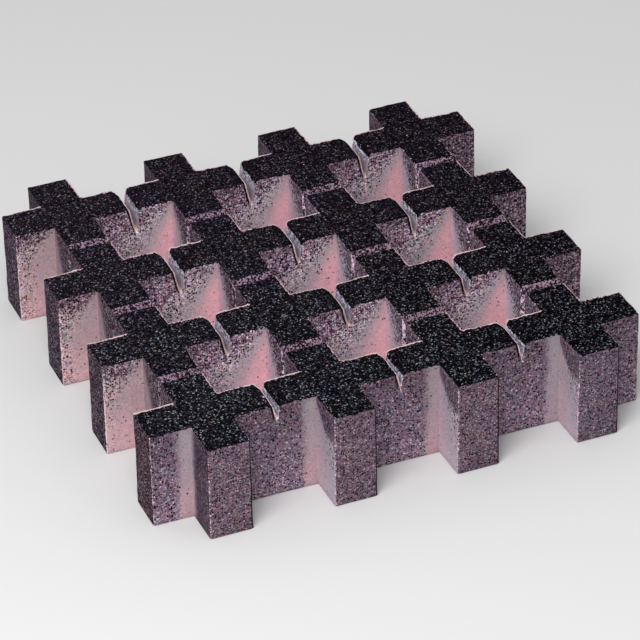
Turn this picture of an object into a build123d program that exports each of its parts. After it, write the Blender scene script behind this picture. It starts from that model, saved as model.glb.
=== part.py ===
from build123d import *
import os
from math import atan, cos, degrees, radians, sin, tan

# Grass paver: one slab of dense concrete, cast in one pour as four rows of four crosses.
# The arms of neighbouring crosses meet half way, so the crosses enclose open square cells
# for soil and grass. Millimetres, +Z up, origin at the middle of the underside.

# The field of crosses
cross_pitch = 150.0
crosses_per_side = 4
slab_thickness = 120.0

# Arms of a cross at the top surface, and how much wider each wall leaves them at the bottom
arm_width_at_root = 52.4
arm_width_at_joint = 50.8
wall_draft = 0.6

# Edges left by the mould
cell_corner_radius = 3.0
arm_end_corner_radius = 2.0
top_edge_bevel = 1.5

# Deep groove across each joint between left and right neighbours
deep_groove_depth = 28.0
deep_groove_wall_angle = 12.0
deep_groove_shoulder_radius = 5.0
deep_groove_root_radius = 1.2

# Shallow groove across each joint between front and back neighbours
shallow_groove_depth = 12.0
shallow_groove_wall_angle = 28.0
shallow_groove_shoulder_radius = 1.5
shallow_groove_root_radius = 1.0

# Upright nick that runs down the cell walls below each groove
nick_width = 5.0
nick_depth = 2.5

# Sizes that follow
slab_side = cross_pitch * crosses_per_side
joints_per_side = crosses_per_side - 1
draft_angle = degrees(atan(wall_draft / slab_thickness))
cutter_overrun = slab_thickness / 4


def cell_core():
    """The mould core of one cell: square in plan, its sides a little out of true where the arms
    narrow to the joint, and smaller below than above so that it draws out of the top."""
    corner = (cross_pitch - arm_width_at_root) / 2
    middle = (cross_pitch - arm_width_at_joint) / 2
    outline = Polyline(
        (corner, corner), (0, middle), (-corner, corner), (-middle, 0),
        (-corner, -corner), (0, -middle), (corner, -corner), (middle, 0), close=True)
    top = Plane((0, 0, slab_thickness), z_dir=(0, 0, -1))
    core = extrude(top * make_face(outline), slab_thickness + cutter_overrun, taper=draft_angle)
    corners = core.edges().filter_by(
        lambda e: e.bounding_box().size.Z > slab_thickness / 2
        and min(abs(e.center().X), abs(e.center().Y)) > corner / 2)
    return fillet(corners, cell_corner_radius)


def field_of_crosses():
    """The square block less a core at every crossing of the joint lines. The cores on the rim
    take only a half or a quarter, which leaves the rim arms standing free."""
    block = extrude(Rectangle(slab_side, slab_side), slab_thickness)
    core = cell_core()
    across = crosses_per_side + 1
    return block - [spot * core for spot in GridLocations(cross_pitch, cross_pitch, across, across)]


def eased(slab):
    """Rounds the upright edges of the free arm ends, then bevels every edge of the top surface."""
    rim = slab_side / 2 - arm_end_corner_radius
    uprights = slab.edges().filter_by(
        lambda e: e.bounding_box().size.Z > slab_thickness / 2
        and max(abs(e.center().X), abs(e.center().Y)) > rim)
    slab = fillet(uprights, arm_end_corner_radius)
    top_face = slab.faces().sort_by(Axis.Z)[-1]
    return chamfer(top_face.edges(), top_edge_bevel)


def groove_cutter(depth, wall_angle, shoulder_radius, root_radius):
    """A groove as long as the slab, along Y at x = 0: a round root, straight walls that lean by
    wall_angle, and shoulders that roll over into the top surface."""
    lean = radians(wall_angle)
    root_x = root_radius * cos(lean)
    root_z = root_radius * (1 - sin(lean)) - depth
    neck_z = -shoulder_radius * (1 - sin(lean))
    neck_x = root_x + (neck_z - root_z) * tan(lean)
    lip_x = neck_x + shoulder_radius * cos(lean)
    half_turn = radians(90 - wall_angle) / 2
    shoulder_x = lip_x - shoulder_radius * sin(half_turn)
    shoulder_z = -shoulder_radius * (1 - cos(half_turn))
    above = shoulder_radius
    profile = [
        Line((lip_x, above), (lip_x, 0)),
        ThreePointArc((lip_x, 0), (shoulder_x, shoulder_z), (neck_x, neck_z)),
        Line((neck_x, neck_z), (root_x, root_z)),
        ThreePointArc((root_x, root_z), (0, -depth), (-root_x, root_z)),
        Line((-root_x, root_z), (-neck_x, neck_z)),
        ThreePointArc((-neck_x, neck_z), (-shoulder_x, shoulder_z), (-lip_x, 0)),
        Line((-lip_x, 0), (-lip_x, above)),
        Line((-lip_x, above), (lip_x, above)),
    ]
    section = Plane((0, 0, slab_thickness), x_dir=(1, 0, 0), z_dir=(0, -1, 0)) * make_face(profile)
    return extrude(section, slab_side / 2 + cutter_overrun, both=True)


def joint_nicks():
    """The nicks of one joint between left and right neighbours: an upright V in each of the two
    cell walls, in line with the groove."""
    plan = make_face(Polyline(
        (nick_width / 2, 0), (0, nick_depth), (-nick_width / 2, 0), (0, -nick_depth), close=True))
    bar = extrude(plan, slab_thickness + cutter_overrun)
    below = -cutter_overrun / 2
    return [Pos(0, side * arm_width_at_joint / 2, below) * bar for side in (-1, 1)]


def grass_paver():
    """The whole slab, with its grooves and nicks repeated at every joint line."""
    slab = eased(field_of_crosses())
    deep = groove_cutter(deep_groove_depth, deep_groove_wall_angle,
                         deep_groove_shoulder_radius, deep_groove_root_radius)
    shallow = groove_cutter(shallow_groove_depth, shallow_groove_wall_angle,
                            shallow_groove_shoulder_radius, shallow_groove_root_radius)
    quarter_turn = Rot(0, 0, 90)
    joint_lines = GridLocations(cross_pitch, 1, joints_per_side, 1)
    slab -= [line * deep for line in joint_lines]
    slab -= [quarter_turn * line * shallow for line in joint_lines]
    nicks = [spot * nick for nick in joint_nicks()
             for spot in GridLocations(cross_pitch, cross_pitch, joints_per_side, crosses_per_side)]
    slab -= nicks
    slab -= [quarter_turn * nick for nick in nicks]
    return slab


os.makedirs("parts", exist_ok=True)
paver = grass_paver()
export_step(paver, "parts/grass_paver.step")
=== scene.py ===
import bpy
import numpy as np
from mathutils import Matrix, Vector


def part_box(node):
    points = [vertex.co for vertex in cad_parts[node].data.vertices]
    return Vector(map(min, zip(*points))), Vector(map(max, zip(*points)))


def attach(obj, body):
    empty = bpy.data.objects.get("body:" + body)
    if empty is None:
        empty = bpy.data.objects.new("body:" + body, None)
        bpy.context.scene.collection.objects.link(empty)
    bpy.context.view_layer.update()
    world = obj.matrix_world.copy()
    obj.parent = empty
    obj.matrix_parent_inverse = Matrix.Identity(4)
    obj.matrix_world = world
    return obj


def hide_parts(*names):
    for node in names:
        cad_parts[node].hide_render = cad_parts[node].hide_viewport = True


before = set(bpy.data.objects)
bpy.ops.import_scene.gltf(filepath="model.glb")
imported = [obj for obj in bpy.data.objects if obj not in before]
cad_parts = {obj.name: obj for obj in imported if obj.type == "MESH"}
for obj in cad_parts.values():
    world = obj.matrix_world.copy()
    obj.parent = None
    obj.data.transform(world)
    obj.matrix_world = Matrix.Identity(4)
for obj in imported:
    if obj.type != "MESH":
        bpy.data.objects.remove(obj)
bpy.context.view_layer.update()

# The slab: one pour of dense concrete, rammed face up into a steel mould whose square cores leave
# the cells. Four rows of four crosses, joined arm to arm, with a groove pressed across each joint.
# Its size is that of the solid that it stands for. Lengths are in millimetres, with +Z up.
solid_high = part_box("grass_paver")[1]
rim, thickness = round(1000 * solid_high.x, 3), round(1000 * solid_high.z, 3)
crosses = 4
pitch = 2 * rim / crosses
root_half, joint_half = 26.2, 25.4
arm_length = pitch / 2 - root_half
draft = 0.6
corner_radius, end_radius = 1.8, 1.8
draw = np.random.default_rng(7)

# How many faces there are across an arm, along it and down its walls, and how many of the lines
# along an arm make the round bottom of its groove, the groove's wall, its shoulder and the corner
faces_across, faces_along, faces_down = 16, 25, 18
steps = 2 * faces_along + faces_across
bottom_lines, wall_lines, shoulder_lines, corner_lines = 3, 6, 5, 2
groove_lines = bottom_lines + wall_lines + shoulder_lines
flat_lines = faces_along + 1 - groove_lines - corner_lines
last_lines = (arm_length - 0.62 * corner_radius, arm_length)


def lattice_noise(points, cell, seed):
    """Smooth noise from -1 to 1: random values on the corners of cubes of side cell, blended
    between the corners with the weight 3t^2 - 2t^3 along each axis. The cubes reach two past the
    slab at its low side and three at its high side."""
    low = np.array([-rim, -rim, 0.0]) - 2 * cell
    size = np.array([2 * rim, 2 * rim, thickness]) + 5 * cell
    table = np.random.default_rng(seed).uniform(-1, 1, tuple(np.ceil(size / cell).astype(int)))
    place = (points - low) / cell
    cube = np.floor(place).astype(int)
    weight = place - cube
    weight = weight ** 2 * (3 - 2 * weight)
    total = 0
    for way in np.ndindex(2, 2, 2):
        part = np.prod(np.where(way, weight, 1 - weight), axis=-1)
        total = total + part * table[tuple(np.moveaxis(cube + way, -1, 0))]
    return total


def ramp(value, low, high):
    """Rises from 0 at low to 1 at high with the weight 3t^2 - 2t^3; falls if high is the lower."""
    t = np.clip((value - low) / (high - low), 0, 1)
    return t * t * (3 - 2 * t)


def half_groove(depth, lean, shoulder, root):
    """Distance from the joint and drop below the top at each station of an arm, from the joint to
    the root of the arm: a round bottom of radius root, a straight wall that leans by lean degrees,
    a round shoulder, then the flat top, and two last stations close to the corner of the cell."""
    sizes = (depth, np.radians(lean), shoulder, root)
    depth, lean, shoulder, root = (np.asarray(size, float)[..., None] for size in sizes)
    turn = np.pi / 2 - lean
    low_turn = turn * np.linspace(0, 1, bottom_lines)
    low_w, low_d = root * np.sin(low_turn), depth - root * (1 - np.cos(low_turn))
    foot_w, foot_d = low_w[..., -1:], low_d[..., -1:]
    neck_d = shoulder * (1 - np.cos(turn))
    neck_w = foot_w + (foot_d - neck_d) * np.tan(lean)
    up_wall = np.arange(1, wall_lines + 1) / wall_lines
    wall_w = foot_w + (neck_w - foot_w) * up_wall
    wall_d = foot_d + (neck_d - foot_d) * up_wall
    high_turn = turn * np.arange(shoulder_lines - 1, -1, -1) / shoulder_lines
    lip_w = neck_w + shoulder * np.sin(turn)
    high_w, high_d = lip_w - shoulder * np.sin(high_turn), shoulder * (1 - np.cos(high_turn))
    flat_w = lip_w + (arm_length - corner_radius - lip_w) * np.arange(1, flat_lines + 1) / flat_lines
    last_w = np.broadcast_to(last_lines, flat_w.shape[:-1] + (corner_lines,))
    w = np.concatenate([low_w, wall_w, high_w, flat_w, last_w], -1)
    d = np.concatenate([low_d, wall_d, high_d, np.zeros(flat_w.shape), np.zeros(last_w.shape)], -1)
    return w, d


def free_arm():
    """The same stations on a rim arm, which has no groove: close together at its end, then even."""
    second, third = 1.4, 3.4
    even = np.linspace(third, arm_length - corner_radius, faces_along - 3)
    return np.concatenate([[0, second], even, last_lines]), np.zeros(faces_along + 1)


def joint_stations(depth, leans, shoulders, root):
    """Stations of every joint line (5, the outer two being the rim), row (4) and side (2): the
    wall after the joint comes first, then the one before it."""
    w = np.empty((crosses + 1, crosses, 2, faces_along + 1))
    d = np.empty_like(w)
    w[:], d[:] = free_arm()
    for wall_side in (0, 1):
        sizes = [np.broadcast_to(v, depth.shape) for v in (leans[wall_side], shoulders[wall_side], root)]
        w[1:-1, :, wall_side], d[1:-1, :, wall_side] = half_groove(depth, *sizes)
    return w, d


# The deep grooves get deeper from the front row to the back one, and one wall of each is steeper
# and rounder than the other. The bottom of each lies a little to one side of the joint.
deep_rows, deep_spread = np.array([19.0, 27.0, 31.0, 34.0]), 1.5
deep_leans, deep_shoulders, deep_root = (9.0, 12.0), (4.5, 2.6), 1.0
tip_shift = 2.4
shallow_mean, shallow_spread = 10.5, 1.0
shallow_leans, shallow_shoulders, shallow_root = (27.0, 27.0), (1.6, 1.6), 1.0
deep = deep_rows + draw.uniform(-deep_spread, deep_spread, (crosses - 1, crosses))
deep_w, deep_d = joint_stations(deep, deep_leans, deep_shoulders, deep_root)
shallow = shallow_mean + draw.uniform(-shallow_spread, shallow_spread, (crosses - 1, crosses))
shallow_w, shallow_d = joint_stations(shallow, shallow_leans, shallow_shoulders, shallow_root)

# Lines of the plan grid, the same along X and along Y: the joint that each belongs to, whether it
# comes after or before that joint, its station there, and whether it runs in a band as wide as an
# arm. Across a band the lines are a little closer together at its edges.
index = np.arange(crosses * steps + 1)
step = index % steps
after = (step < steps / 2) & (index < crosses * steps)
joint = index // steps + np.where(after | (step == 0), 0, 1)
side = np.where(after, 0, 1)
station = np.minimum(np.where(after, step, (steps - step) % steps), faces_along)
band = (step >= faces_along) & (step <= faces_along + faces_across)
band_face = (step >= faces_along) & (step < faces_along + faces_across)
edge_strip, even_half = 2.9, 20.4
lines_across = np.concatenate([[-root_half, edge_strip - root_half],
                               np.linspace(-even_half, even_half, faces_across - 3),
                               [root_half - edge_strip, root_half]])
cross_of = np.minimum(index // steps, crosses - 1)
centre = (cross_of + 0.5) * pitch - rim
offset = lines_across[np.clip(step - faces_along, 0, faces_across)]

# Every node of the plan grid: how far it is along its arm, and its drop in the groove
ix, iy = np.meshgrid(index, index, indexing="ij")
arm_x = deep_w[joint[ix], cross_of[iy], side[ix], station[ix]]
arm_y = shallow_w[joint[iy], cross_of[ix], side[iy], station[iy]]
drop_x = deep_d[joint[ix], cross_of[iy], side[ix], station[ix]]
drop_y = shallow_d[joint[iy], cross_of[ix], side[iy], station[iy]]
inner_x, inner_y = (joint[ix] % crosses > 0), (joint[iy] % crosses > 0)

# The wall before each deep groove stands a little nearer to it, and flares away at its back end
flare, nearer, most_at = 4.0, 0.8, 8.0
front_to_back = np.clip((step[iy] - faces_along) / faces_across, 0, 1)
swing = np.minimum(arm_x / most_at, (arm_length - arm_x) / (arm_length - most_at)) * inner_x
arm_x = arm_x + swing * np.where(side[ix], flare * ramp(front_to_back, 0.7, 1.0) - nearer, 0)


def along_axis(i, w, shift):
    """Place along one axis: from the joint line out by w, with the groove's bottom shifted."""
    return joint[i] * pitch - rim + np.where(side[i], -1, 1) * w + shift * (1 - w / arm_length)


def over_axis(i, w_other):
    """Place across an arm, which narrows from its root to the joint."""
    narrow = 1 - (root_half - joint_half) / root_half * (1 - w_other / arm_length)
    return centre[i] + offset[i] * narrow


grid_x = np.where(band[ix], over_axis(ix, arm_y), along_axis(ix, arm_x, tip_shift * inner_x))
grid_y = np.where(band[iy], over_axis(iy, arm_x), along_axis(iy, arm_y, 0.0))
drop = np.where(band[iy], drop_x, 0) + np.where(band[ix], drop_y, 0)

# Faces of the top: the squares of the grid that lie in a band, and numbers for the nodes they use
filled = band_face[:-1, None] | band_face[None, :-1]
used = np.zeros(ix.shape, bool)
for di, dj in np.ndindex(2, 2):
    used[di:used.shape[0] - 1 + di, dj:used.shape[1] - 1 + dj] |= filled
top_id = np.full(ix.shape, -1)
top_id[used] = np.arange(used.sum())
qi, qj = np.nonzero(filled)
top_quads = np.stack([top_id[qi, qj], top_id[qi + 1, qj], top_id[qi + 1, qj + 1], top_id[qi, qj + 1]], 1)

# Edges of the top, each with the direction that its wall faces
padded = np.pad(filled, 1)
edges = []
for (nx, ny), (p, q) in {(0, -1): ((0, 0), (1, 0)), (1, 0): ((1, 0), (1, 1)),
                         (0, 1): ((1, 1), (0, 1)), (-1, 0): ((0, 1), (0, 0))}.items():
    beyond = padded[1 + nx:padded.shape[0] - 1 + nx, 1 + ny:padded.shape[1] - 1 + ny]
    ei, ej = np.nonzero(filled & ~beyond)
    edges.append(np.stack([top_id[ei + p[0], ej + p[1]], top_id[ei + q[0], ej + q[1]],
                           np.full(ei.shape, nx), np.full(ei.shape, ny)], 1))
edges = np.concatenate(edges)
rim_ids, edge_ends = np.unique(edges[:, :2], return_inverse=True)
edge_ends = edge_ends.reshape(-1, 2)
facing = np.zeros((len(rim_ids), 2))
for end in (0, 1):
    np.add.at(facing, edge_ends[:, end], edges[:, 2:])
facing = np.sign(facing)


def on_edge(values):
    """Values of the plan grid at the nodes along the edges of the top."""
    return values[used][rim_ids]


# The upright corners are round: the fillets of the cells swell out, the ends of the arms shrink
wx, wy = on_edge(arm_x), on_edge(arm_y)
edge_xy = np.stack([on_edge(grid_x), on_edge(grid_y)], 1)
edge_top = thickness - on_edge(drop)
in_x, in_y = on_edge(inner_x), on_edge(inner_y)
round_start = 1 - 0.5 ** 0.5
inside_fillet = np.clip(2 * arm_length - wx - wy, corner_radius * round_start, corner_radius)
swell = corner_radius - np.sqrt(corner_radius ** 2 - (corner_radius - inside_fillet) ** 2)
from_end = np.where((wx < arm_length) & ~in_x & (facing[:, 1] != 0), wx,
                    np.where((wy < arm_length) & ~in_y & (facing[:, 0] != 0), wy, end_radius))
from_end = np.clip(from_end, end_radius * round_start, end_radius)
shrink = end_radius - np.sqrt(end_radius ** 2 - (end_radius - from_end) ** 2)
edge_xy = edge_xy + facing * (swell - shrink)[:, None]

# The arris is a small round that is worn wider in places, with bites out of it. The back edges
# are worn less and bulge out by about a millimetre, unevenly, as if the mix had slumped there.
mean_wear, uneven_wear, bite_size, back_wear = 1.2, 0.8, 1.3, 0.55
arris_spot = np.column_stack([edge_xy, edge_top])
bite = ramp(lattice_noise(arris_spot, 5.0, 11), 0.35, 0.8)
worn = mean_wear + uneven_wear * lattice_noise(arris_spot, 4.5, 12) + bite_size * bite
back_edge = (facing[:, 1] > 0) & (edge_xy[:, 1] < rim - 1)
worn = np.where(back_edge, back_wear * worn, worn)
bulge = 1.0 + 1.5 * lattice_noise(arris_spot, 8.0, 13) + 0.5 * lattice_noise(arris_spot, 3.5, 14)
bulge_full, bulge_gone = 4.0, 24.0

# Levels of the walls: two for the arris, even ones down to just above the foot, then the foot's bevel
round_middle, foot_height, foot_bevel = 0.29, 1.0, 0.8
level_z = np.empty((faces_down + 1, len(rim_ids)))
level_z[0], level_z[1], level_z[2] = edge_top, edge_top - round_middle * worn, edge_top - worn
down_wall = (np.arange(3, faces_down) - 2) / (faces_down - 3)
level_z[3:faces_down] = foot_height + (level_z[2] - foot_height) * (1 - down_wall[:, None])
level_z[faces_down] = 0.0
inward = np.zeros_like(level_z)
inward[0], inward[1], inward[faces_down] = worn, round_middle * worn, foot_bevel
below = np.clip(thickness - level_z, 0, thickness)

# Upright nicks run down the walls below each groove; those below the deep ones fade out
nick_half, deep_nick, shallow_nick = 3.0, 1.2, 2.2
nick_full, nick_gone = 45.0, 75.0
drafted = facing * np.stack([wx > 0, wy > 0], 1)
nick_x = np.where(in_x & (wx < nick_half), deep_nick * (1 - wx / nick_half), 0)
nick_x = nick_x * ramp(below, nick_gone, nick_full)
nick_y = np.where(in_y & (wy < nick_half), shallow_nick * (1 - wy / nick_half), 0)
wall = (edge_xy[None] + drafted[None] * (draft * below / thickness)[..., None]
        - facing[None] * (inward + nick_x + nick_y)[..., None])
wall[..., 1] += back_edge * bulge * ramp(below, bulge_gone, bulge_full)
walls = np.concatenate([wall, level_z[..., None]], -1)
top = np.column_stack([grid_x[used], grid_y[used], thickness - drop[used]])
top[rim_ids] = walls[0]
points = np.concatenate([top, walls[1:].reshape(-1, 3)])


def wall_id(level, node):
    """Number of the vertex that lies a number of levels below a node of the edge."""
    return np.where(level == 0, rim_ids[node], len(top) + (level - 1) * len(rim_ids) + node)


levels = np.arange(faces_down)[:, None]
a, b = edge_ends[None, :, 0], edge_ends[None, :, 1]
wall_quads = np.stack([wall_id(levels, a), wall_id(levels + 1, a), wall_id(levels + 1, b),
                       wall_id(levels, b)], -1).reshape(-1, 4)

# The underside: strips straight over each arm, a square under each cross, and the ends of rim arms
edge_no = np.full(len(top), -1)
edge_no[rim_ids] = np.arange(len(rim_ids))
base = np.where(used, wall_id(faces_down, edge_no[top_id]), -1)
first = np.arange(crosses) * steps + faces_along
second = first + faces_across
final = crosses * steps
strip = np.nonzero(~band_face[:-1])[0]
strip = strip[(strip > 0) & (strip < final - 1)]
at, row = np.meshgrid(strip, np.arange(crosses), indexing="ij")
over_x = np.stack([base[at, first[row]], base[at, second[row]], base[at + 1, second[row]],
                   base[at + 1, first[row]]], -1).reshape(-1, 4)
over_y = np.stack([base[first[row], at], base[first[row], at + 1], base[second[row], at + 1],
                   base[second[row], at]], -1).reshape(-1, 4)
col, row = np.meshgrid(np.arange(crosses), np.arange(crosses), indexing="ij")
under_cross = np.stack([base[first[col], first[row]], base[first[col], second[row]],
                        base[second[col], second[row]], base[second[col], first[row]]], -1).reshape(-1, 4)
bottom_quads = np.concatenate([over_x, over_y, under_cross])
end_faces = []
for lo, hi in zip(first, second):
    end_faces.append([base[1, hi], base[1, lo], *base[0, lo:hi + 1]][::-1])
    end_faces.append([base[final - 1, hi], base[final - 1, lo], *base[final, lo:hi + 1]])
    end_faces.append([base[hi, 1], base[lo, 1], *base[lo:hi + 1, 0]])
    end_faces.append([base[hi, final - 1], base[lo, final - 1], *base[lo:hi + 1, final]][::-1])

# Every surface but the foot waves by a few tenths, along its own normal and inwards on the whole
quads = np.concatenate([top_quads, wall_quads, bottom_quads])
quad_points = points[quads]
quad_normal = np.cross(quad_points[:, 2] - quad_points[:, 0], quad_points[:, 3] - quad_points[:, 1])
outwards = np.zeros_like(points)
for k in range(4):
    np.add.at(outwards, quads[:, k], quad_normal)
outwards /= np.maximum(np.linalg.norm(outwards, axis=1, keepdims=True), 1e-9)
wave_sizes, mean_sink = ((0.30, 24.0, 21), (0.22, 8.0, 22), (0.20, 3.5, 23)), 0.30
wave = sum(height * lattice_noise(points, cell, seed) for height, cell, seed in wave_sizes) - mean_sink
wave *= ramp(points[:, 2], 0.0, 4.0)
shaped = np.clip(points + outwards * wave[:, None], [-rim, -rim, 0], [rim, rim, thickness])

mesh = bpy.data.meshes.new("cast_slab")
mesh.from_pydata((shaped / 1000).tolist(), [], quads.tolist() + [list(map(int, e)) for e in end_faces])
mesh.shade_smooth()
slab = bpy.data.objects.new("cast_slab", mesh)
bpy.context.collection.objects.link(slab)

# The finish and the painted light and shade differ from place to place, so each corner of each face
# gets values that steer the material. They follow from its place and from the way that its wall faces.
corner_ids = np.concatenate([quads.ravel(), np.concatenate(end_faces)])
corner_at = points[corner_ids]
top_end, wall_end = 4 * len(top_quads), 4 * (len(top_quads) + len(wall_quads))
on_top, on_wall = np.zeros((2, len(corner_ids)), bool)
on_top[:top_end] = True
on_wall[top_end:wall_end] = True
face = np.zeros((len(corner_ids), 2))
face[on_wall] = np.tile(edges[:, 2:], (faces_down, 1)).repeat(4, 0)
skin_of, furrow_of, groove_shadow_of, seam_of, line_of = np.zeros((5, len(points)))


def split(values):
    """The values of the top's nodes, and those of the walls' nodes as levels by nodes."""
    return values[:len(top)], values[len(top):].reshape(faces_down, len(rim_ids))


# The dark skin of the top runs down over the shoulder after a deep groove, further at its back
# end, but ends at once on the one before it, and on the shoulders of the shallow grooves. It is
# full where its value is well over 1, and its ragged edge is where the value is about a half.
full_skin, arris_skin, below_arris_skin = 1.6, 0.85, 0.55
round_reach, back_gain, round_fade = 4.8, 2.6, 1.6
sharp_reach, sharp_fade = 0.1, 0.15
skin_top, skin_walls = split(skin_of)
in_groove = inner_x & (station[ix] < groove_lines)
in_shallow = inner_y & (station[iy] < groove_lines)
skin_drop = np.where(side[ix], sharp_reach, round_reach + back_gain * front_to_back)
skin_fade = np.where(side[ix], sharp_fade, round_fade)
skin_share = np.where(in_groove, ramp((skin_drop - drop) / skin_fade, -1.0, 1.0),
                      np.where(in_shallow, ramp(station[iy], 11.0, 13.0), 1.0))[used]
beside_groove = (inner_x & (station[ix] < groove_lines + 2))[used]
skin_top[:] = np.where((skin_share > 0.99) & ~beside_groove, full_skin, skin_share)
skin_top[rim_ids] = np.minimum(skin_share[rim_ids], arris_skin)
skin_walls[0] = below_arris_skin * skin_share[rim_ids]

# Furrow is 1 in the deep grooves and -1 in the shallow ones. The bottoms of the deep ones get a
# painted shadow, drawn cream, but not their sides near the front end.
in_deep = inner_x & (station[ix] < groove_lines - 1)
furrow_of[:len(top)] = (in_deep * 1.0 - in_shallow * 1.0)[used]
groove_depth = deep[np.clip(joint[ix] - 1, 0, crosses - 2), cross_of[iy]]
front_sides = ramp(front_to_back, 0.35, 0.1) * ramp(arm_x, 1.2, 2.4)
groove_shadow_of[:len(top)] = (in_deep * ramp(drop / groove_depth, 0.80, 0.97) * (1 - front_sides))[used]

# Painted highlight lines along the arrises. Those on the back edges are pink for 58 mm from the middle
# of each cross and cream on the rest, and those on the right edges are thinner in the back half of a
# cell. The wall before each deep groove has a wide one at its front edge and on its lip.
pink_line, cream_line, thin_line, furrow_line, lip_line = 1.0, 3.0, 0.7, 1.5, 1.35
pink_length, most_on_top, front_share, back_share = 58.0, 1.25, 0.9, 0.4
outer_cross = rim - pitch / 2
line_top, line_walls = split(line_of)
front_half = (edge_xy[:, 1] + outer_cross) % pitch < pitch / 2
on_left = (edge_xy[:, 0] + outer_cross) % pitch < pink_length
back_line = np.where(on_left, pink_line, cream_line)
right_line = np.where(facing[:, 0] > 0, np.where(front_half, pink_line, thin_line), 0.0)
edge_line = np.where(facing[:, 1] > 0, back_line, right_line)
line_top[rim_ids] = np.where(facing[:, 1] > 0, np.minimum(edge_line, most_on_top),
                             edge_line * np.where(front_half, front_share, back_share))
furrow_side = in_x & (on_edge(side[ix]) == 1) & (on_edge(drop) > 1.0) & (facing[:, 1] < 0)
line_top[rim_ids[furrow_side]] = furrow_line
line_walls[0] = np.maximum(edge_line, furrow_side * furrow_line)
line_walls[1] = furrow_side * furrow_line
lip = inner_x & (side[ix] == 1) & (station[ix] >= 6) & (station[ix] <= 11)
line_top[:] = np.maximum(line_top, lip[used] * lip_line)

# Lines down the upright corners of the rim arms: pale ones, painted highlights, stronger at the foot
# of the front left corners of the left side, and a black one, a negative value, at the front right corners
front_left_line, other_line, foot_line, front_gain, black_line = 0.66, 0.56, 0.4, 0.25, -1.0
outer = np.abs(edge_xy).max(1) > rim - 1.0
upright = (facing != 0).all(1) & outer
at_left = (edge_xy[:, 0] < 1 - rim) & (edge_xy[:, 1] > -outer_cross)
left_line = at_left * (foot_line + front_gain * (edge_xy[:, 1] < 0)) * ramp(below[1:], 10.0, 60.0)
upright_line = np.where(facing.sum(1) == -2, front_left_line + left_line, other_line) * upright
line_walls[:] = np.maximum(line_walls, upright_line)
dark_corner = outer & (facing[:, 0] > 0) & (facing[:, 1] < 0) & (edge_xy[:, 1] < 1 - rim)
line_walls[:, dark_corner] = black_line

# Seams of pale beads run down the walls below the grooves: broad ones below the shallow grooves,
# strongest inside the cells, and faint narrow ones below the deep grooves. Each span runs from
# where a seam has gone to where it is full, across it and then down the wall.
broad_across, broad_down, narrow_across, narrow_down = (6.6, 3.4), (75.0, 50.0), (2.6, 0.4), (44.0, 30.0)
cell_seam, flank_seam, faint_seam = 1.1, 0.45, 0.35
inside = np.where(np.abs(edge_xy[:, 0]) < outer_cross, cell_seam, flank_seam)
broad_seam = np.where(in_y, ramp(wy, *broad_across), 0) * inside * ramp(below[1:], *broad_down)
narrow_seam = np.where(in_x, ramp(wx, *narrow_across), 0) * faint_seam * ramp(below[1:], *narrow_down)
split(seam_of)[1][:] = broad_seam + narrow_seam

# The mouths of the deep grooves on the front walls are outlined with painted shadow: a cream line with
# a black line beside it. How far each corner lies from a line a little inside the groove's own outline
far_off, mouth_share, past_bottom = 12.0, 0.9, 0.6
mouth_of = np.full(len(points), far_off)
mouth_top, mouth_walls = split(mouth_of)
mouth_lean = np.radians(deep_leans[1])
foot_half, foot_rise = deep_root * np.cos(mouth_lean), deep_root * (1 - np.sin(mouth_lean))
depth_here = on_edge(groove_depth)
mouth_half = mouth_share * (foot_half + (depth_here - foot_rise - below) * np.tan(mouth_lean))
at_groove = in_x & (on_edge(side[ix]) == 1) & (facing[:, 1] < 0)
from_mouth = np.where(at_groove & (below < depth_here + past_bottom), wx - mouth_half, far_off)
mouth_top[rim_ids], mouth_walls[:] = from_mouth[0], from_mouth[1:]
mouth = np.where(on_wall, np.clip(mouth_of[corner_ids], -2.0, far_off), far_off)

# Painted light and shade: the walls are dark and pitted, apart from a painted cast shadow, drawn as a
# pale patch with a slanted edge, that spreads from one inner corner of each cell. Each way that a wall
# faces: its distance to that corner, whether a painted shadow corner is there, where the patch is an
# upright stripe instead, and its row in the table
x, y = corner_at[:, 0], corner_at[:, 1]
depth = thickness - corner_at[:, 2]
cell_x = (x + outer_cross + 1e-6) % pitch
cell_y = (y + outer_cross + 1e-6) % pitch
cell_end = pitch - root_half
looks = [(0, -1, cell_end - cell_x, x < outer_cross, y < -outer_cross, 0),
         (0, 1, cell_x - root_half, x > -outer_cross, y > outer_cross, 0),
         (-1, 0, cell_end - cell_y, y < outer_cross, (y < -outer_cross) & (x < -outer_cross), 3),
         (1, 0, cell_y - root_half, y > -outer_cross, (y > outer_cross) & (x > outer_cross), 3)]
# Walls along X, then along Y, each inside, in the front and back recess, and in the side recess.
# The painted shadow begins slope times the distance plus offset below the top, but no lower than the
# limit, and softness stretches its edge; then how dark the rest is at the top and the foot, how light
# the painted shadow is there, and how pink the painted corner shade is
shades = np.array([
    # slope offset limit soft  dark  dark  pale  pale  pink
    [0.60, 0.0, 999.0, 0.55, 1.03, 1.32, 1.08, 1.22, 1.00],
    [0.00, 0.0, 999.0, 1.00, 0.49, 0.82, 0.74, 0.74, 0.56],
    [0.90, 0.0, 19.0, 0.70, 0.57, 0.72, 0.74, 0.87, 0.72],
    [1.20, 0.0, 999.0, 0.28, 0.51, 0.58, 1.12, 1.10, 0.65],
    [0.90, 12.0, 36.0, 0.80, 0.41, 0.41, 0.75, 0.92, 0.30],
    [2.20, 0.0, 999.0, 0.40, 0.29, 0.34, 0.56, 0.62, 0.30]])
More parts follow.
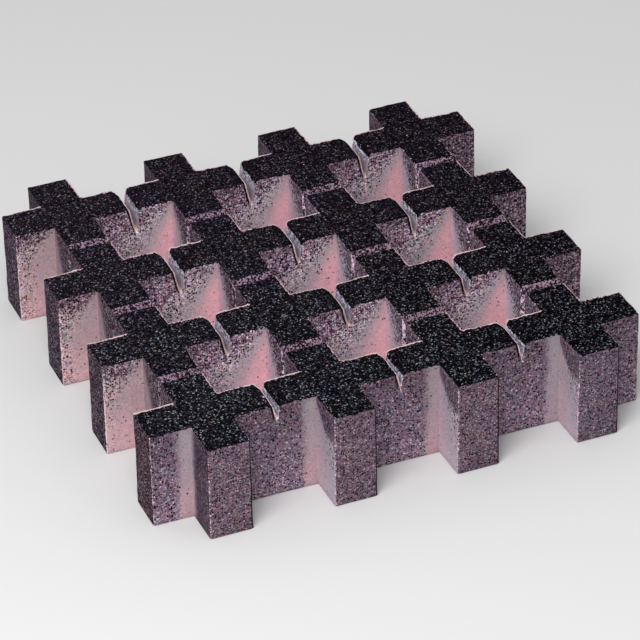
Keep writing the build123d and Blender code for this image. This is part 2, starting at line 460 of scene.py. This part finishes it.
# Painted light: rim arm ends that face front or back are lighter than those that face the sides
stripe_widths, end_face_shades = (18.0, 7.5), (0.49, 0.30)
outside_shadow, dark_crowd, coarse_grit = 40.0, 9.0, 1.42
end_zone, open_side_shade, fillet_shade, fillet_reach = 5.0, 0.92, 0.22, 2.4
shadow_edge = np.full(len(corner_ids), outside_shadow)
crowd = np.full(len(corner_ids), dark_crowd)
corner_shade = np.zeros(len(corner_ids))
grit, tone = np.ones((2, len(corner_ids)))
left_flank = (face[:, 1] != 0) & (x < -outer_cross) & (np.abs(y) < outer_cross)
# Painted shade tint by the way a wall faces: bluish on walls that face along X
shade_tint = np.abs(face[:, 0]) - 0.7 * left_flank
for nx, ny, to_corner, closed, stripe, first_row in looks:
    along_x = nx == 0
    here = (face[:, 0] == nx) & (face[:, 1] == ny)
    at_end = here & (np.abs(y if along_x else x) > rim - end_zone)
    recess = here & ~at_end & (np.abs(y) > outer_cross)
    flank = here & ~at_end & ~recess & (np.abs(x) > outer_cross)
    slope, offset_down, limit, soft, dark_top, dark_foot, pale_top, pale_foot, corner_pink = shades[
        first_row + np.where(recess, 1, np.where(flank, 2, 0))].T
    shadow_patch = here & closed & ~at_end
    width, end_face_shade = stripe_widths[first_row // 3], end_face_shades[first_row // 3]

    # How far a place lies from the edge of the painted shadow, how crowded its pits are, and how far
    # the painted corner shade, drawn pink, spreads
    start_depth = np.minimum(slope * to_corner + offset_down, limit)
    slanted = soft * (start_depth - depth) / np.hypot(1, slope)
    shadow_edge = np.where(shadow_patch, np.where(stripe, (to_corner - width + 2) * 0.5, slanted), shadow_edge)
    ratio = to_corner / np.maximum(depth, 4.0)
    if along_x:
        flank_ratio = to_corner / (46 + 20 * ramp(y, 100.0, -100.0))
        wedge = np.where(flank, np.maximum(ratio, flank_ratio), ratio)
        shade_spread = ramp(ratio, 0.66, 0.2) * (0.3 + 0.7 * ramp(depth, 8.0, 42.0))
        corner_pink = corner_pink * (1 - 0.6 * ramp(x, 60.0, 200.0) * recess)
    else:
        wedge = 1.67 * ratio - 0.17
        shade_spread = ramp(ratio, 0.45, 0.0)
    crowd = np.where(shadow_patch, np.where(stripe, 0.33 + (to_corner - width + 9) / 20.3, wedge), crowd)
    grit = np.where(here & ~recess & ~(at_end & along_x), coarse_grit, grit)
    shade_spread = np.where(stripe, ramp(depth, 30.0, 115.0) * (to_corner < width), shade_spread)
    shade_spread = np.where(flank & along_x, 0.28 + 0.5 * ramp(depth, 45.0, 105.0), shade_spread)
    corner_shade = np.where(shadow_patch, corner_pink * shade_spread, corner_shade)

    # Painted light and shade: how light the lit part and the painted shadow are from the top to the
    # foot, and how bluish the painted shade tint is
    fall = np.clip((depth - 20) / 80, -0.25, 1.25)
    dark = np.where(at_end, end_face_shade, dark_top + (dark_foot - dark_top) * fall)
    # Painted shade: the open side of each wall is a little darker
    dark = dark * np.where(closed, 1.0, open_side_shade)
    light = pale_top + (pale_foot - pale_top) * fall
    if along_x:
        # Painted shade: both parts darker just below the top edge
        light = light * (1 - 0.28 * ramp(depth, 9.0, 2.0))
        under_edge = np.where(flank, 0.2 * ramp(to_corner, 15.0, 40.0),
                              0.10 + 0.38 * ramp(to_corner, 40.0, 75.0))
        under_edge = np.where(at_end, 0.12, np.where(recess, 0.0, under_edge))
        dark = dark * (1 - under_edge * ramp(depth, 18.0, 6.0))
        # Painted shade tint near the corners of the recesses and on the arm ends
        corner_shade_tint = 0.8 * ramp(to_corner, 17.0, 23.0) * ramp(depth, 8.0, 18.0)
        shade_tint = np.where(at_end, 0.8 * ramp(x, 50.0, 200.0), shade_tint)
        shade_tint = np.where(recess, np.maximum(corner_shade_tint, 0.6 * ramp(x, 60.0, 200.0)), shade_tint)
    else:
        corner_cell = recess & (np.abs(x) > outer_cross)
        # Painted light: lighter towards the right and, on arm ends, towards the back; darker near the top of
        # corner cells
        dark = dark * (1 + 0.0006 * x) * np.where(at_end, 1.14 + 0.0008 * y, 1.0)
        dark = dark * np.where(corner_cell, 0.66 + 0.26 * ramp(depth, 25.0, 60.0), 1.0)
        shade_tint = np.where(recess, 1 - 0.6 * ramp(x, 0.0, 150.0), shade_tint)
        shade_tint = np.where(flank, 0.0, np.where(at_end, ramp(y, -260.0, 0.0) * 2 - 1, shade_tint))
    # Share of the painted shadow patch: 1 inside it, 0 outside
    in_shadow_patch = ramp(np.where(shadow_patch, shadow_edge, outside_shadow), 5.0, -5.0)
    # Painted shade in the fillets of the inner corners
    in_fillet = 1 - fillet_shade * ramp(to_corner, fillet_reach, 0.4) * (here & ~at_end)
    tone = np.where(here, (dark + (light - dark) * in_shadow_patch) * in_fillet, tone)

finish_and_shade = {"skin": skin_of[corner_ids], "furrow": furrow_of[corner_ids] * on_top,
          "groove_shadow": groove_shadow_of[corner_ids] * on_top, "seam": seam_of[corner_ids] * on_wall,
          "arris": line_of[corner_ids], "shadow_edge": shadow_edge, "corner_shade": corner_shade,
          "dots": ramp(crowd, 0.33, 1.2) * grit, "tone": tone, "shade_tint": shade_tint, "mouth": mouth}
for name, values in finish_and_shade.items():
    layer = mesh.attributes.new(name, "FLOAT", "CORNER")
    layer.data.foreach_set("value", values.astype(np.float32))


class Socket:
    """A node's socket. Sums, differences, products and powers of sockets become Math nodes."""

    def __init__(self, tree, socket=None):
        self.tree, self.socket = tree, socket

    def node(self, kind, settings, inputs, output=0):
        """Adds a node: its settings first, then the values or links of its sockets."""
        made = self.tree.nodes.new("ShaderNode" + kind)
        for name, value in settings.items():
            setattr(made, name, value)
        for name, value in inputs.items():
            if isinstance(value, Socket):
                self.tree.links.new(value.socket, made.inputs[name])
            else:
                made.inputs[name].default_value = value
        return Socket(self.tree, made.outputs[output])

    def math(self, operation, *values):
        """A Math node with this operation on the values."""
        return self.node("Math", {"operation": operation}, dict(enumerate(values)))

    def __add__(self, other):
        return self.math("ADD", self, other)

    def __sub__(self, other):
        return self.math("SUBTRACT", self, other)

    def __rsub__(self, other):
        return self.math("SUBTRACT", other, self)

    def __mul__(self, other):
        return self.math("MULTIPLY", self, other)

    def __pow__(self, other):
        return self.math("POWER", self, other)

    __radd__, __rmul__ = __add__, __mul__

    def rise(self, low, high):
        """0 below low, 1 above high, smooth between."""
        return self.node("MapRange", {"interpolation_type": "SMOOTHSTEP"},
                         {"Value": self, "From Min": low, "From Max": high})

    def mix(self, first, second):
        """First colour where this value is 0, second where it is 1."""
        pair = [v if isinstance(v, Socket) else (*v, 1.0) for v in (first, second)]
        return self.node("Mix", {"data_type": "RGBA"}, {0: self, 6: pair[0], 7: pair[1]}, 2)

    def times(self, red, green, blue):
        """This colour with each channel multiplied by its own value."""
        factors = self.node("CombineColor", {}, {"Red": red, "Green": green, "Blue": blue})
        return self.node("Mix", {"data_type": "RGBA", "blend_type": "MULTIPLY"},
                         {0: 1.0, 6: self, 7: factors}, 2)


# The concrete: crushed stone of many colours in dark cement, under a dark skin where the top was
# pressed, with light and shade painted into its colour. Every pattern is taken from the place in
# metres, and the finish and painted light and shade of each corner steer it.
concrete = bpy.data.materials.new("exposed_grain_concrete")
concrete.use_nodes = True
tree = concrete.node_tree
shader = tree.nodes["Principled BSDF"]
start = Socket(tree)
point = start.node("TexCoord", {}, {}, "Object")
place_x, place_y, place_z = (start.node("SeparateXYZ", {}, {0: point}, name) for name in "XYZ")
skin, furrow, groove_shadow, seam, arris, shadow_edge, corner_shade, dots, tone, shade_tint, mouth = (
    start.node("Attribute", {"attribute_name": name}, {}, "Fac") for name in finish_and_shade)


def noise(scale, seed=0.0, detail=1.5, roughness=0.6):
    """Cloudy noise around 0.5 whose blobs are about 1/scale metres wide."""
    return start.node("TexNoise", {"noise_dimensions": "4D"},
                      {"Vector": point, "W": seed, "Scale": scale, "Detail": detail, "Roughness": roughness})


def channels(colour, *names):
    """The values of a colour's named channels."""
    return [start.node("SeparateColor", {}, {0: colour}, name) for name in names]


cloud = noise(35.0, detail=3.0, roughness=0.5)
grain = noise(420.0, seed=2.0)
lump = noise(190.0, seed=9.0)
jitter = start.node("TexNoise", {}, {"Vector": point, "Scale": 700.0, "Detail": 1.0}, "Color")
jittered = start.node("VectorMath", {"operation": "MULTIPLY_ADD"},
                      {0: jitter, 1: (0.0014, 0.0014, 0.0014), 2: point})
drift = start.node("TexNoise", {}, {"Vector": point, "Scale": 110.0, "Detail": 3.0, "Roughness": 0.6},
                   "Color")
warm, cool = (channel - 0.5 for channel in channels(drift, "Red", "Green"))


def stones(size):
    """Irregular grains about size metres wide: the distance from the middle of the grain, as a share
    of size, and three numbers from 0 to 1 that each grain has for its own."""
    cells = start.node("TexVoronoi", {}, {"Vector": jittered, "Scale": 1 / size}, "Distance")
    return cells, channels(Socket(tree, cells.socket.node.outputs["Color"]), "Red", "Green", "Blue")


core, (luck, other_luck, tint) = stones(0.0016)
core = core.rise(0.62, 0.30)
speck, (speck_luck, speck_size, _) = stones(0.0028)
speck = (0.31 + 0.12 * speck_size + dots * 0.03 - speck).rise(-0.06, 0.06)

# Walls: mauve, paler in the painted shadow towards the inner corner and pink with painted corner
# shade at its foot. Dull spots and light grains of the small stones, then pits and crumbs of the
# larger ones, grow denser away from that corner.
shadow_mauve, corner_shade_pink = (0.495, 0.402, 0.450), (0.82, 0.465, 0.52)
grey_mauve, red_mauve = (0.276, 0.177, 0.241), (0.290, 0.168, 0.246)
dull_brown, hole_black = (0.014, 0.004, 0.009), (0.006, 0.002, 0.004)
rose_grain, rose_crumb = (1.0, 0.70, 0.83), (1.0, 0.70, 0.82)
blue_grain, blue_crumb = (0.72, 0.74, 0.82), (0.74, 0.74, 0.84)
# Painted shadow patch: pale mauve inside it, dark mauve outside
dotted = (shadow_edge + (grain - 0.5) * 12.0 + (cloud - 0.5) * 8.0).rise(-3.0, 3.0)
dark_mauve = dots.rise(1.0, 1.25).mix(grey_mauve, red_mauve)
wall_colour = dotted.mix(shadow_mauve, dark_mauve)
# Painted corner shade, drawn pink, at the foot of the inner corner
wall_colour = (corner_shade * (1.0 - dotted)).mix(wall_colour, corner_shade_pink)
dull = (dots * 0.26 + 0.04 - luck).rise(-0.05, 0.18) * 0.65
wall_colour = dull.mix(wall_colour, dull_brown)
grains = (luck - 0.95 + dots * 0.30).rise(0.0, 0.5) * (0.3 + 0.7 * core)
wall_colour = grains.mix(wall_colour, tint.mix(rose_grain, blue_grain))
pits = speck * (dots * (0.09 + dots * 0.21) + 0.03 - speck_luck).rise(-0.02, 0.02)
wall_colour = pits.mix(wall_colour, hole_black)
crumbs = speck * (speck_luck - 0.99 + dots * (0.05 + dots * 0.15)).rise(-0.05, 0.30)
wall_colour = crumbs.mix(wall_colour, tint.mix(rose_crumb, blue_crumb))

# Seams: a strip of pale beads with dark gaps, brighter than white so that the shade leaves them pale
dark_gap, pale_bead = (0.10, 0.05, 0.08), (1.8, 1.3, 1.55)
strip = (seam + (grain - 0.5) * 2.0).rise(0.3, 0.6) * 0.92
beads = (lump * 0.7 + grain * 0.3).rise(0.47, 0.56).mix(dark_gap, pale_bead)
wall_colour = strip.mix(wall_colour, beads)

# Painted light and shade of the walls: their tone, a fall of light across the slab and a tint by the
# way each wall faces; with these, drift over centimetres and from stone to stone, and over them the
# outlines of the grooves' mouths
cream_width, mouth_shadow_cream = 1.7, (0.74, 0.58, 0.56)
black_width, mouth_shade_black = 4.2, (0.012, 0.007, 0.011)
rough = dots.rise(0.0, 0.7) * 0.6 + 0.4
shade = tone * (0.92 + 0.16 * cloud) * (1.02 + (other_luck - 0.5) * rough * 0.55)
# Painted fall of light across the slab: darker towards the back, and towards the right unless the wall has
# the full shade tint
shade = shade * (0.98 + place_x * (shade_tint * 0.35 - 0.27)) * (1.0 - 0.20 * place_y)
# Painted shade tint, with a random drift of hue
wall_colour = wall_colour.times(shade * (1.0 + warm * rough * 0.85), shade * (1.0 + shade_tint * 0.05),
                                shade * (1.0 + cool * rough * 0.55 + shade_tint * 0.09))
# Painted shadow at the mouths of the deep grooves: black, then cream
black_part = (black_width - mouth + (grain - 0.5) * 3.0).rise(-0.4, 0.4)
cream_part = (cream_width - mouth + (grain - 0.5) * 1.5).rise(-0.3, 0.3)
wall_colour = black_part.mix(wall_colour, mouth_shade_black)
wall_colour = cream_part.mix(wall_colour, mouth_shadow_cream)

# Grooves: blotched lilac with dark specks and a painted shadow, drawn cream, at the bottom of the deep
# ones, mottled pink in the shallow ones. The lilac turns to a mauve grey from 8 to 22 mm below the top.
deep_lilac, pale_lilac, lilac_black = (0.20, 0.17, 0.25), (0.72, 0.72, 0.86), (0.05, 0.04, 0.07)
mauve_grey, groove_shadow_cream = (0.40, 0.32, 0.37), (1.0, 0.84, 0.78)
mottle_black, mottle_pink = (0.015, 0.009, 0.014), (0.38, 0.25, 0.34)
blotch = noise(210.0, seed=5.0, detail=3.0).rise(0.40, 0.60)
lilac = blotch.mix(deep_lilac, pale_lilac)
lilac = (0.7 - luck).rise(0.4, 0.6).mix(lilac, lilac_black)
lilac = (thickness / 1000 - place_z).rise(0.008, 0.022).mix(lilac, mauve_grey)
wall_colour = furrow.rise(0.3, 0.7).mix(wall_colour, groove_shadow.mix(lilac, groove_shadow_cream))
mottle = (luck * 0.6 + grain * 0.4).rise(0.45, 0.68).mix(mottle_black, mottle_pink)
wall_colour = (0.0 - furrow).rise(0.3, 0.7).mix(wall_colour, mottle)

# Top: nearly black, with fine grains from grey to bluish white. Painted light makes the black lighter
# towards the left and the back, makes the grains stronger towards the left and the front, and shifts
# their tint along the slab. The skin's edge is ragged, and the arris shows a painted highlight line.
skin_black, skin_grey = (0.0008, 0.0005, 0.001), (0.009, 0.007, 0.012)
warm_grain, cool_grain = (0.42, 0.33, 0.37), (0.32, 0.41, 0.50)
arris_pink, arris_cream, arris_black = (0.78, 0.52, 0.58), (1.0, 0.84, 0.80), (0.02, 0.012, 0.018)
# Grains with a painted fall of light, stronger at the front and the left
grains_and_light_fall = luck ** 12.0 * (0.3 + 0.7 * core) * (0.98 - 0.4 * place_x) * (0.87 - 1.1 * place_y)
grains_and_light_fall = grains_and_light_fall * skin.rise(0.8, 1.25)
top_light_fall = 1.45 + 1.9 * place_y - 2.0 * place_x
top_colour = grain.rise(0.40, 0.70).mix(skin_black, skin_grey)
top_colour = top_colour.times(top_light_fall, top_light_fall, top_light_fall)
top_colour = grains_and_light_fall.mix(top_colour, other_luck.mix(warm_grain, cool_grain))
top_colour = top_colour.times(1.05 + warm * 0.9 + place_y * 0.4, 1.0 - place_x * 0.1,
                              1.0 + cool * 0.9 + place_y * 0.1)
ragged = (skin + (grain - 0.5) * 1.5 + (lump - 0.5) * 2.0).rise(0.42, 0.58)
colour = ragged.mix(wall_colour, top_colour)
# Painted highlight lines along the arrises and down the upright corners
highlight_line = (arris + (grain - 0.5) * 2.2 + (lump - 0.5) * 1.5).rise(0.5, 0.8) * 0.85
line_colour = arris.rise(1.02, 1.1).mix(arris_pink, arris_cream)
colour = highlight_line.mix(colour, line_colour)
dark_line = (0.0 - arris + (grain - 0.5) * 0.6).rise(0.35, 0.6)
colour = dark_line.mix(colour, arris_black)

relief = grain * 0.6 - pits * 0.5 + core * luck * 0.3
bump = start.node("Bump", {}, {"Strength": 0.5, "Distance": 0.0012, "Height": relief}, "Normal")
tree.links.new(colour.socket, shader.inputs["Base Color"])
tree.links.new(bump.socket, shader.inputs["Normal"])
shader.inputs["Roughness"].default_value = 0.92
shader.inputs["Specular IOR Level"].default_value = 0.01
mesh.materials.append(concrete)
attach(slab, "root")
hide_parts("grass_paver")

# The studio: a pale floor that runs on past the view, an even pale surround, and one wide soft
# lamp high behind the camera's left shoulder. The floor lies a hair below the slab. In metres.
floor_half, floor_z = 20.0, -0.0005
floor_corners = [(-floor_half, -floor_half), (floor_half, -floor_half),
                 (floor_half, floor_half), (-floor_half, floor_half)]
floor_mesh = bpy.data.meshes.new("floor")
floor_mesh.from_pydata([(*place, floor_z) for place in floor_corners], [], [(0, 1, 2, 3)])
floor = bpy.data.objects.new("floor", floor_mesh)
bpy.context.collection.objects.link(floor)
paper = bpy.data.materials.new("pale_paper")
paper.use_nodes = True
paper_shader = paper.node_tree.nodes["Principled BSDF"]
paper_shader.inputs["Base Color"].default_value = (0.72, 0.72, 0.72, 1)
paper_shader.inputs["Roughness"].default_value = 0.9
paper_shader.inputs["Specular IOR Level"].default_value = 0.1
floor_mesh.materials.append(paper)

world = bpy.data.worlds.new("surround")
bpy.context.scene.world = world
world.use_nodes = True
world.node_tree.nodes["Background"].inputs["Color"].default_value = (1, 1, 1, 1)
world.node_tree.nodes["Background"].inputs["Strength"].default_value = 0.6

lamp_data = bpy.data.lights.new("soft_lamp", "AREA")
lamp_data.shape = "DISK"
lamp_data.size = 1.8
lamp_data.energy = 60.0
lamp = bpy.data.objects.new("soft_lamp", lamp_data)
bpy.context.collection.objects.link(lamp)
azimuth, elevation, lamp_distance = np.radians(-40.0), np.radians(50.0), 3.0
to_lamp = np.array([np.sin(azimuth) * np.cos(elevation), -np.cos(azimuth) * np.cos(elevation),
                    np.sin(elevation)])
lamp.location = to_lamp * lamp_distance
lamp.rotation_euler = (np.pi / 2 - elevation, 0, azimuth)

# The camera: a long lens from the front left, held a little off level and aimed at a point near
# the middle of the slab. Its angles are in radians.
camera_data = bpy.data.cameras.new("camera")
camera = bpy.data.objects.new("camera", camera_data)
bpy.context.collection.objects.link(camera)
bpy.context.scene.camera = camera
yaw, pitch_down, roll, view_distance = 0.386, 0.589, -0.020, 4.433
target = np.array([-0.00498, -0.02913, 0.060])
forward = np.array([np.sin(yaw) * np.cos(pitch_down), np.cos(yaw) * np.cos(pitch_down), -np.sin(pitch_down)])
level_right = np.array([np.cos(yaw), -np.sin(yaw), 0.0])
level_up = np.cross(level_right, forward)
right = np.cos(roll) * level_right + np.sin(roll) * level_up
up = -np.sin(roll) * level_right + np.cos(roll) * level_up
camera_place = np.eye(4)
camera_place[:3, :3] = np.column_stack([right, up, -forward])
camera_place[:3, 3] = target - forward * view_distance
camera.matrix_world = Matrix(camera_place.tolist())
camera_data.sensor_width = 36.0
camera_data.lens = 212.6
camera_data.clip_end = 100.0
bpy.context.scene.view_settings.view_transform = "Standard"
